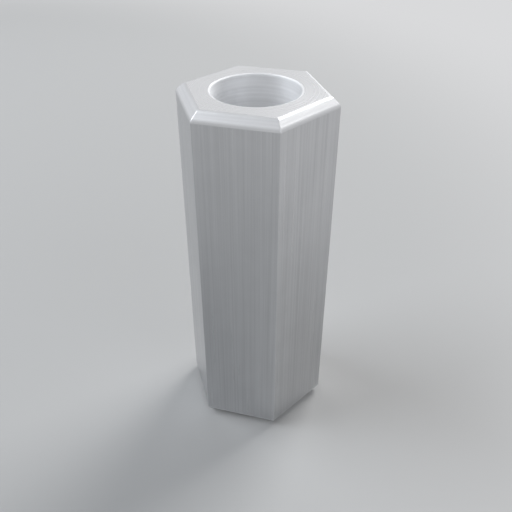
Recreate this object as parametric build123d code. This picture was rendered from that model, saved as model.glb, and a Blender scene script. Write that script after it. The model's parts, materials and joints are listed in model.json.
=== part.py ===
from build123d import *

import os

# Hex standoff for an M3 screw: a length of hexagonal bar with a plain clearance hole right through it.
# The lower end stands on the XY plane and the hole runs up the Z axis. Two corners of the hexagon lie on
# the X axis, so two flats face along Y. All sizes are in millimetres.

# Driving dimensions
ACROSS_FLATS = 5.5  # spanner size, from one flat to the flat opposite
LENGTH = 15.0  # from end face to end face: the gap that the standoff keeps
BORE_DIAMETER = 3.4  # medium clearance hole for an M3 screw
END_CHAMFER = 0.3  # 45 degree chamfer along the six edges of each end
CORNER_RADIUS = 0.05  # the six long corners of the drawn bar
MOUTH_BREAK = 0.04  # 45 degree edge break at both mouths of the bore

SIDES = 6
NODE = "hex_standoff"
FOLDER = "parts"


def hexagon():
    """Sharp hexagon of the spanner size, with two corners on the X axis."""
    return RegularPolygon(ACROSS_FLATS / 2, side_count=SIDES, major_radius=False)


def bored_bar():
    """The drawn bar cut to length: rounded corners outside, the screw's hole inside."""
    outline = hexagon()
    section = fillet(outline.vertices(), CORNER_RADIUS) - Circle(BORE_DIAMETER / 2)
    return extrude(section, LENGTH)


def chamfered_blank():
    """Sharp hexagonal prism with chamfered ends: the envelope that the bar's ends are cut to."""
    prism = extrude(hexagon(), LENGTH)
    end_edges = prism.faces().filter_by(Axis.Z).edges()
    return chamfer(end_edges, END_CHAMFER)


def hex_standoff():
    """The finished standoff, one solid."""
    cut_bar = bored_bar() & chamfered_blank()
    mouths = cut_bar.edges().filter_by(GeomType.CIRCLE).group_by(SortBy.RADIUS)[-1]
    return chamfer(mouths, MOUTH_BREAK)


os.makedirs(FOLDER, exist_ok=True)
export_step(hex_standoff(), os.path.join(FOLDER, NODE + ".step"))
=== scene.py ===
import json
import math

import bpy
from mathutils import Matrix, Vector

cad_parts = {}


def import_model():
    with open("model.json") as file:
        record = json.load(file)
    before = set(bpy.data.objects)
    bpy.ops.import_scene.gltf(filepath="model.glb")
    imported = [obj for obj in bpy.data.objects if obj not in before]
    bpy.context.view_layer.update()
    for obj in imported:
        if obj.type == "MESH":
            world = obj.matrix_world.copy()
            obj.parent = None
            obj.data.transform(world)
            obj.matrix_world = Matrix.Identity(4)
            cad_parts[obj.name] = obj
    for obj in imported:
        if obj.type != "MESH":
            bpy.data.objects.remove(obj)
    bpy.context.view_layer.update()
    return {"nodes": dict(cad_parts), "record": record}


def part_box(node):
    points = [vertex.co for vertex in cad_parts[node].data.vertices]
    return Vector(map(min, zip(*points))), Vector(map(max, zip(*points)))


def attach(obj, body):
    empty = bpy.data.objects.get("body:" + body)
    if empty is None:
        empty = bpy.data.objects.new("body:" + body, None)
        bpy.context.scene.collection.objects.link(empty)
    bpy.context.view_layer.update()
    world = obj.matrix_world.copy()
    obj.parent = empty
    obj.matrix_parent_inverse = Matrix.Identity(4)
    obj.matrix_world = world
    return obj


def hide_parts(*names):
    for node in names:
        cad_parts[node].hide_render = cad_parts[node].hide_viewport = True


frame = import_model()

# Names and units
MM = 0.001
MICRON = 0.001 * MM
NODE = "hex_standoff"
PIECE = "standoff_bar"
BAKE_MAP = "OFBake"
SIDES = 6
HALF_SIDE = math.pi / SIDES  # half the angle that one flat takes up, seen from the axis

# Edges that are sharp in the plain solid and softly rounded on the finished metal
CHAMFER_EDGE_RADIUS = 0.22 * MM
MOUTH_EDGE_RADIUS = 0.06 * MM
ARC_STEPS = 6

# Mesh density: columns go round the bar, rows follow the wall's section
FLAT_COLUMNS = 24
CORNER_COLUMNS = 6
FLAT_ROWS = 24
CHAMFER_ROWS = 2
END_ROWS = 6
MOUTH_ROWS = 1
BORE_ROWS = 24
ON_END = 1 * MICRON  # a point this near the end plane lies on it
MAP_GAP = 0.25 * MM  # room between the islands of the bake map

# Satin aluminium, each as a dull and a clean tone: dullest on the drawn flats, cleanest on the cut ends and
# the bore, with the chamfers between. The gap between these three tones is partly the finish and partly
# painted light and shade: painted shade on the flats, painted light on the ends and in the bore.
METALLIC = 0.9
DRAWN_METAL_PAINTED_SHADE = ((0.540, 0.545, 0.556, 1), (0.660, 0.665, 0.676, 1))
EDGE_METAL_PAINTED_HALF_SHADE = ((0.600, 0.605, 0.616, 1), (0.720, 0.725, 0.736, 1))
CUT_METAL_PAINTED_LIGHT = ((0.790, 0.795, 0.805, 1), (0.920, 0.925, 0.935, 1))
CLOUD_SIZE = 1.8 * MM  # soft unevenness of the tone
CLOUD_SHARE = 0.25
CLOUD_DETAIL = 3.0
FINE_DENSITY = 1.0  # how densely the fine marks lie, at their pitch
BROAD_DENSITY = 0.3  # how densely the broad marks lie, beside the fine ones
FINE_SHARE = 0.72
MARK_DETAIL = 2.0
PATTERN_MIDDLE = 0.5
TONE_REACH = 0.2  # the pattern goes from the dull tone to the clean one this far about its middle
QUARTER_TURN = 0.25

# The photograph's camera, in the standoff's frame
VIEW_AZIMUTH = 15.0
VIEW_ELEVATION = math.degrees(math.atan(math.sqrt(0.5)))  # the isometric angle
VIEW_DISTANCE = 27.005 * MM
FIELD_OF_VIEW = 45.0
SENSOR_WIDTH = 36.0  # in the lens's own millimetres
NEAREST_SEEN = 1 * MM
FARTHEST_SEEN = 10.0

# Studio: a turn is 0 at the camera's right, 90 behind the standoff and 180 at the camera's left
CAMERA_TURN = -90
FLOOR_WIDTH = 0.6
FLOOR_COLOUR = (0.60, 0.60, 0.595, 1)
FLOOR_ROUGHNESS = 0.9
FADE_TURN = 150  # the floor's own tone is centred to the left of the standoff and a little behind it
FADE_SHIFT = 45 * MM  # how far from the standoff that centre lies
FADE_FROM = 45 * MM  # further than this from the centre the floor begins to turn into the plain surround
FADE_TO = 80 * MM
LAMP_DISTANCE = 0.18
WHITE_LIGHT = (1.0, 1.0, 1.0)
COOL_LIGHT = (0.90, 0.945, 1.0)
LAMPS = [  # name, turn and elevation in degrees, width in metres, power in watts, colour
    ("key_box", 52, 43, 0.10, 0.172, WHITE_LIGHT),
    ("side_box", 343, 28, 0.10, 0.010, WHITE_LIGHT),
    ("left_box", 172, 42, 0.15, 0.175, COOL_LIGHT),
    ("front_box", 304, 30, 0.15, 0.050, COOL_LIGHT),
]
SURROUND_COLOUR = (0.98, 0.985, 1.0, 1)
SURROUND_LIGHT = 0.11  # how strongly the surround lights the floor
SURROUND_SHOWN = 0.71  # how bright it looks to the camera and in the metal


# Sizes that the frame gives
def frame_sizes():
    """The standoff's own sizes in metres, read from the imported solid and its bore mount."""
    low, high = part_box(NODE)
    end_points = [v.co for v in frame["nodes"][NODE].data.vertices if v.co.z > high.z - ON_END]
    mount = next(m for m in frame["record"]["mounts"] if m["kind"] == "bore")
    bore = mount["dims"]["r_mm"] * MM
    corner_reach = 1 / math.cos(HALF_SIDE)
    return {
        "bottom": low.z,
        "top": high.z,
        "apothem": high.y,
        "bore": bore,
        "chamfer": high.y - max(p.y for p in end_points),
        "mouth": min(p.xy.length for p in end_points) - bore,
        "corner": (high.y * corner_reach - high.x) / (corner_reach - 1),
    }


SIZES = frame_sizes()


# The wall's section, and the rings that carry it round the bar
def section():
    """The corners of the wall's section, anticlockwise from the foot of the flat.

    Each is (distance from the axis, height, edge radius, whether it lies on the bore, finish, rows), where
    the finish and the rows belong to the straight run from this corner to the next.
    """
    flat, bore = SIZES["apothem"], SIZES["bore"]
    end, mouth = flat - SIZES["chamfer"], bore + SIZES["mouth"]
    low, high = SIZES["bottom"], SIZES["top"]
    outer, inner = CHAMFER_EDGE_RADIUS, MOUTH_EDGE_RADIUS
    return [
        (flat, low + SIZES["chamfer"], outer, False, "flat", FLAT_ROWS),
        (flat, high - SIZES["chamfer"], outer, False, "chamfer", CHAMFER_ROWS),
        (end, high, outer, False, "end", END_ROWS),
        (mouth, high, inner, True, "bore", MOUTH_ROWS),
        (bore, high - SIZES["mouth"], inner, True, "bore", BORE_ROWS),
        (bore, low + SIZES["mouth"], inner, True, "bore", MOUTH_ROWS),
        (mouth, low, inner, True, "end", END_ROWS),
        (end, low, outer, False, "chamfer", CHAMFER_ROWS),
    ]


def hexagon(apothem):
    """Points and outward normals round a hexagon with rounded corners, two of them on the X axis."""
    core = apothem - SIZES["corner"]
    half_flat = core * math.tan(HALF_SIDE)
    found = []
    for side in range(SIDES):
        facing = HALF_SIDE * (2 * side + 1)
        outward = Vector((math.cos(facing), math.sin(facing)))
        along = Vector((-outward.y, outward.x))
        for column in range(FLAT_COLUMNS):
            shift = half_flat * (2 * column / FLAT_COLUMNS - 1)
            found.append((outward * apothem + along * shift, outward))
        centre = outward * core + along * half_flat
        for column in range(CORNER_COLUMNS):
            turn = facing + 2 * HALF_SIDE * column / CORNER_COLUMNS
            spoke = Vector((math.cos(turn), math.sin(turn)))
            found.append((centre + spoke * SIZES["corner"], spoke))
    return found


def circle(radius):
    """As many points and outward normals round a circle, evenly spaced and in step with the hexagon's."""
    per_side = FLAT_COLUMNS + CORNER_COLUMNS
    found = []
    for column in range(SIDES * per_side):
        turn = HALF_SIDE * (1 + (2 * column - FLAT_COLUMNS) / per_side)
        spoke = Vector((math.cos(turn), math.sin(turn)))
        found.append((spoke * radius, spoke))
    return found


def ring(on_bore, spot, tilt):
    """A closed ring of (point, normal) at a spot of the section. Tilt turns the normal from outward to up."""
    columns = circle(spot.x) if on_bore else hexagon(spot.x)
    level, rise = math.cos(tilt), math.sin(tilt)
    return [
        (Vector((point.x, point.y, spot.y)), Vector((spoke.x * level, spoke.y * level, rise)))
        for point, spoke in columns
    ]


def edge_arc(corner, tilt, turn):
    """The rings that round one corner of the section, where the normal turns on from tilt by turn."""
    size, height, radius, on_bore, _, _ = corner
    before = Vector((math.cos(tilt), math.sin(tilt)))
    after = Vector((math.cos(tilt + turn), math.sin(tilt + turn)))
    centre = Vector((size, height)) - (before + after) * radius / (1 + before.dot(after))
    found = []
    for step in range(ARC_STEPS + 1):
        angle = tilt + turn * step / ARC_STEPS
        spot = centre + radius * Vector((math.cos(angle), math.sin(angle)))
        found.append(ring(on_bore, spot, angle))
    return found


def skin():
    """The rings of the closed skin in order, each with the finish of the band that follows it.

    A rounded edge has the bore's finish at the bore's mouths, and the chamfer's elsewhere.
    """
    corners = section()
    turn = 2 * math.pi / len(corners)
    arcs = [edge_arc(corner, (index - 1) * turn, turn) for index, corner in enumerate(corners)]
    found = []
    for index, corner in enumerate(corners):
        on_bore, finish, rows = corner[3:]
        edge_finish = "bore" if on_bore else "chamfer"
        start, goal = arcs[index][-1], arcs[(index + 1) % len(arcs)][0]
        found += [(edge_finish, one) for one in arcs[index][:-1]]
        for row in range(rows):
            share = row / rows
            found.append((finish, [(a.lerp(b, share), normal) for (a, normal), (b, _) in zip(start, goal)]))
    return found


# The piece
def islands():
    """For each finish, a function from (column, point) to the bake map, with all islands at one scale."""
    unroll = math.sqrt(2) - 1  # what a slope of 45 degrees adds to its own height when it is unrolled
    middle = (SIZES["bottom"] + SIZES["top"]) / 2
    low = SIZES["bottom"] - unroll * SIZES["chamfer"]
    outline = [point for point, _ in hexagon(SIZES["apothem"])]
    steps = [(b - a).length for a, b in zip(outline, outline[1:] + outline[:1])]
    round_bar = [sum(steps[:column]) for column in range(len(steps) + 1)]
    bar_height = SIZES["top"] - SIZES["bottom"] + 2 * unroll * SIZES["chamfer"]
    end_reach = (SIZES["apothem"] - SIZES["chamfer"]) / math.cos(HALF_SIDE)
    bore_length = 2 * math.pi * SIZES["bore"]
    size = bar_height + bore_length + 3 * MAP_GAP
    ends_from = round_bar[-1] + 2 * MAP_GAP + end_reach * math.cos(HALF_SIDE)

    def height(point, inset):
        return point.z - low + math.copysign(unroll * inset, point.z - middle)

    def outside(column, point):
        facing = HALF_SIDE * (2 * (column // (FLAT_COLUMNS + CORNER_COLUMNS)) + 1)
        inset = SIZES["apothem"] - point.xy.dot(Vector((math.cos(facing), math.sin(facing))))
        return MAP_GAP + round_bar[column], MAP_GAP + height(point, max(inset, 0))

    def bore(column, point):
        inset = point.xy.length - SIZES["bore"]
        turned = bore_length * column / len(steps)
        return MAP_GAP + height(point, max(inset, 0)), 2 * MAP_GAP + bar_height + turned

    def end(column, point):
        upper = point.z > middle
        upper_level = MAP_GAP + end_reach
        lower_level = upper_level + 2 * end_reach + MAP_GAP
        level = upper_level - point.x if upper else lower_level + point.x
        return ends_from + point.y, level

    makers = {"flat": outside, "chamfer": outside, "bore": bore, "end": end}
    return makers, size


def add_bake_map(mesh, rows):
    """Unrolls the flats and the bore, and lays both ends flat beside them."""
    makers, size = islands()
    columns = len(rows[0][1])
    places = []
    for row, (finish, one) in enumerate(rows):
        following = rows[(row + 1) % len(rows)][1]
        for column in range(columns):
            beside = (column + 1) % columns
            corners = [(column, one[column]), (column + 1, one[beside])]
            corners += [(column + 1, following[beside]), (column, following[column])]
            for unwrapped, (point, _) in corners:
                u, v = makers[finish](unwrapped, point)
                places += [u / size, v / size]
    layer = mesh.uv_layers.new(name=BAKE_MAP)
    layer.data.foreach_set("uv", places)


def standoff_mesh():
    """The standoff's whole skin as one closed mesh of quads with true normals, and its list of finishes."""
    rows = skin()
    columns = len(rows[0][1])
    finishes = list(dict.fromkeys(finish for finish, _ in rows))
    faces = []
    for row in range(len(rows)):
        following = (row + 1) % len(rows)
        for column in range(columns):
            beside = (column + 1) % columns
            corners = [(row, column), (row, beside), (following, beside), (following, column)]
            faces.append([r * columns + c for r, c in corners])
    mesh = bpy.data.meshes.new(PIECE)
    mesh.from_pydata([point for _, one in rows for point, _ in one], [], faces)
    mesh.polygons.foreach_set("material_index", [finishes.index(f) for f, _ in rows for _ in range(columns)])
    mesh.polygons.foreach_set("use_smooth", [True] * len(faces))
    add_bake_map(mesh, rows)
    mesh.update()
    mesh.normals_split_custom_set_from_vertices([normal for _, one in rows for _, normal in one])
    return mesh, finishes


def standoff():
    mesh, finishes = standoff_mesh()
    piece = bpy.data.objects.new(PIECE, mesh)
    bpy.context.scene.collection.objects.link(piece)
    for finish in finishes:
        mesh.materials.append(tooled_metal(finish, **FINISHES[finish]))
    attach(piece, "root")
    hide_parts(NODE)


# Finishes
def node(tree, kind, inputs, **options):
    """Adds a node, sets its options, sets or links its inputs, and returns its first output."""
    made = tree.nodes.new("ShaderNode" + kind)
    for name, value in options.items():
        setattr(made, name, value)
    for name, value in inputs.items():
        if isinstance(value, bpy.types.NodeSocket):
            tree.links.new(value, made.inputs[name])
        else:
            made.inputs[name].default_value = value
    return made.outputs[0]


def length_of(tree, vector):
    made = tree.nodes.new("ShaderNodeVectorMath")
    made.operation = "LENGTH"
    tree.links.new(vector, made.inputs[0])
    return made.outputs["Value"]


def along_bar(tree, point, pitch, run):
    """Coordinates for marks that run up the bar: fast across the flats, slow up them."""
    return node(tree, "VectorMath", {0: point, 1: (1 / pitch, 1 / pitch, 1 / run)}, operation="MULTIPLY")


def round_axis(tree, point, pitch, run):
    """Coordinates for marks that run round the axis on a flat end: fast outward, slow round."""
    flat = node(tree, "VectorMath", {0: point, 1: (1, 1, 0)}, operation="MULTIPLY")
    return slow_beside(tree, point, length_of(tree, flat), pitch, run)


def up_wall(tree, point, pitch, run):
    """Coordinates for marks that run round a wall: fast up the axis, slow round."""
    split = tree.nodes.new("ShaderNodeSeparateXYZ")
    tree.links.new(point, split.inputs[0])
    return slow_beside(tree, point, split.outputs["Z"], pitch, run)


def slow_beside(tree, point, distance, pitch, run):
    """A vector that runs fast with the distance across the marks and slowly with X and Y."""
    slow = tree.nodes.new("ShaderNodeSeparateXYZ")
    tree.links.new(node(tree, "VectorMath", {0: point, "Scale": 1 / run}, operation="SCALE"), slow.inputs[0])
    fast = node(tree, "Math", {0: distance, 1: 1 / pitch}, operation="MULTIPLY")
    return node(tree, "CombineXYZ", {"X": fast, "Y": slow.outputs["X"], "Z": slow.outputs["Y"]})


def tooled_metal(name, tones, marks, pitch, run, depth, roughness, spread, stretch, turn):
    """Satin aluminium with fine tool marks.

    tones are its dull and its clean colour. marks gives the marks' coordinates, pitch and run their width
    and length, and depth their depth. The roughness varies by spread, and the highlight is stretched across
    the marks by stretch, after a turn.
    """
    material = bpy.data.materials.new(name + "_metal")
    material.use_nodes = True
    tree = material.node_tree
    shader = tree.nodes["Principled BSDF"]
    point = tree.nodes.new("ShaderNodeTexCoord").outputs["Object"]
    across = marks(tree, point, pitch, run)
    fine = node(tree, "TexNoise", {"Vector": across, "Scale": FINE_DENSITY, "Detail": MARK_DETAIL})
    broad = node(tree, "TexNoise", {"Vector": across, "Scale": BROAD_DENSITY, "Detail": MARK_DETAIL})
    cloud = node(tree, "TexNoise", {"Vector": point, "Scale": 1 / CLOUD_SIZE, "Detail": CLOUD_DETAIL})
    streak = node(tree, "Mix", {0: FINE_SHARE, 2: broad, 3: fine}, data_type="FLOAT")
    shade = node(tree, "Mix", {0: CLOUD_SHARE, 2: streak, 3: cloud}, data_type="FLOAT")
    dull, clean = PATTERN_MIDDLE - TONE_REACH, PATTERN_MIDDLE + TONE_REACH
    tone = tree.nodes.new("ShaderNodeValToRGB")
    stops = tone.color_ramp.elements
    stops[0].position, stops[1].position = dull, clean
    stops[0].color, stops[1].color = tones
    tree.links.new(shade, tone.inputs["Fac"])
    tree.links.new(tone.outputs["Color"], shader.inputs["Base Color"])
    sheen = node(tree, "MapRange", {
        "Value": streak, "From Min": dull, "From Max": clean,
        "To Min": roughness + spread, "To Max": roughness - spread,
    })
    tree.links.new(sheen, shader.inputs["Roughness"])
    relief = node(tree, "Bump", {"Height": streak, "Distance": depth})
    tree.links.new(relief, shader.inputs["Normal"])
    shader.inputs["Metallic"].default_value = METALLIC
    shader.inputs["Anisotropic"].default_value = stretch
    shader.inputs["Anisotropic Rotation"].default_value = turn
    return material


# The flats take the darkest tone as painted shade, the chamfers a middle one, and the ends and bore the
# lightest as painted light
FINISHES = {
    "flat": dict(
        tones=DRAWN_METAL_PAINTED_SHADE, marks=along_bar, pitch=0.07 * MM, run=9 * MM, depth=8 * MICRON,
        roughness=0.32, spread=0.06, stretch=0.4, turn=0.0,
    ),
    "chamfer": dict(
        tones=EDGE_METAL_PAINTED_HALF_SHADE, marks=up_wall, pitch=0.06 * MM, run=4 * MM, depth=4 * MICRON,
        roughness=0.45, spread=0.05, stretch=0.2, turn=QUARTER_TURN,
    ),
    "end": dict(
        tones=CUT_METAL_PAINTED_LIGHT, marks=round_axis, pitch=0.08 * MM, run=6 * MM, depth=8 * MICRON,
        roughness=0.29, spread=0.05, stretch=0.2, turn=QUARTER_TURN,
    ),
    "bore": dict(
        tones=CUT_METAL_PAINTED_LIGHT, marks=up_wall, pitch=0.10 * MM, run=6 * MM, depth=12 * MICRON,
        roughness=0.74, spread=0.04, stretch=0.5, turn=QUARTER_TURN,
    ),
}


# Studio
def direction(turn, elevation):
    """Unit vector from the standoff, turned from the camera's right."""
    angle, lift = math.radians(VIEW_AZIMUTH + turn), math.radians(elevation)
    return Vector((math.cos(angle) * math.cos(lift), math.sin(angle) * math.cos(lift), math.sin(lift)))


def place(name, data, location, back):
    """Puts a lamp or camera in the scene with its back turned to a direction."""
    holder = bpy.data.objects.new(name, data)
    bpy.context.scene.collection.objects.link(holder)
    holder.location = location
    holder.rotation_mode = "QUATERNION"
    holder.rotation_quaternion = back.to_track_quat("Z", "Y")
    return holder


def softbox(name, turn, elevation, width, power, colour):
    lamp = bpy.data.lights.new(name, "AREA")
    lamp.shape = "DISK"
    lamp.size = width
    lamp.energy = power
    lamp.color = colour
    towards = direction(turn, elevation)
    place(name, lamp, towards * LAMP_DISTANCE, towards)


def surround_strength(tree):
    """The pale surround's strength: as shown to the camera, the metal and clear things, or as light."""
    path = tree.nodes.new("ShaderNodeLightPath").outputs
    seen = node(tree, "Math", {0: path["Is Camera Ray"], 1: path["Is Glossy Ray"]}, operation="MAXIMUM")
    shown = node(tree, "Math", {0: seen, 1: path["Is Transmission Ray"]}, operation="MAXIMUM")
    return node(tree, "MapRange", {"Value": shown, "To Min": SURROUND_LIGHT, "To Max": SURROUND_SHOWN})


def floor():
    """A pale floor under the standoff, which turns into the surround further out."""
    half = FLOOR_WIDTH / 2
    mesh = bpy.data.meshes.new("floor")
    corners = [(-half, -half, 0), (half, -half, 0), (half, half, 0), (-half, half, 0)]
    mesh.from_pydata(corners, [], [(0, 1, 2, 3)])
    plane = bpy.data.objects.new("floor", mesh)
    bpy.context.scene.collection.objects.link(plane)
    material = bpy.data.materials.new("pale_floor")
    material.use_nodes = True
    tree = material.node_tree
    shader = tree.nodes["Principled BSDF"]
    shader.inputs["Base Color"].default_value = FLOOR_COLOUR
    shader.inputs["Roughness"].default_value = FLOOR_ROUGHNESS
    beyond = node(tree, "Emission", {"Color": SURROUND_COLOUR, "Strength": surround_strength(tree)})
    point = tree.nodes.new("ShaderNodeTexCoord").outputs["Object"]
    centre = direction(FADE_TURN, 0) * FADE_SHIFT
    away = length_of(tree, node(tree, "VectorMath", {0: point, 1: centre}, operation="SUBTRACT"))
    fade = node(tree, "MapRange", {
        "Value": away, "From Min": FADE_FROM, "From Max": FADE_TO,
    }, interpolation_type="SMOOTHSTEP")
    surface = node(tree, "MixShader", {0: fade, 1: shader.outputs["BSDF"], 2: beyond})
    tree.links.new(surface, tree.nodes["Material Output"].inputs["Surface"])
    mesh.materials.append(material)


def world():
    studio = bpy.data.worlds.new("studio")
    bpy.context.scene.world = studio
    studio.use_nodes = True
    tree = studio.node_tree
    background = tree.nodes["Background"]
    background.inputs["Color"].default_value = SURROUND_COLOUR
    tree.links.new(surround_strength(tree), background.inputs["Strength"])


def camera():
    lens = bpy.data.cameras.new("camera")
    lens.sensor_width = SENSOR_WIDTH
    lens.lens = SENSOR_WIDTH / 2 / math.tan(math.radians(FIELD_OF_VIEW / 2))
    lens.clip_start = NEAREST_SEEN
    lens.clip_end = FARTHEST_SEEN
    back = direction(CAMERA_TURN, VIEW_ELEVATION)
    middle = Vector((0, 0, (SIZES["bottom"] + SIZES["top"]) / 2))
    bpy.context.scene.camera = place("camera", lens, middle + back * VIEW_DISTANCE, back)


standoff()
floor()
world()
for lamp in LAMPS:
    softbox(*lamp)
camera()
bpy.context.scene.view_settings.view_transform = "Standard"
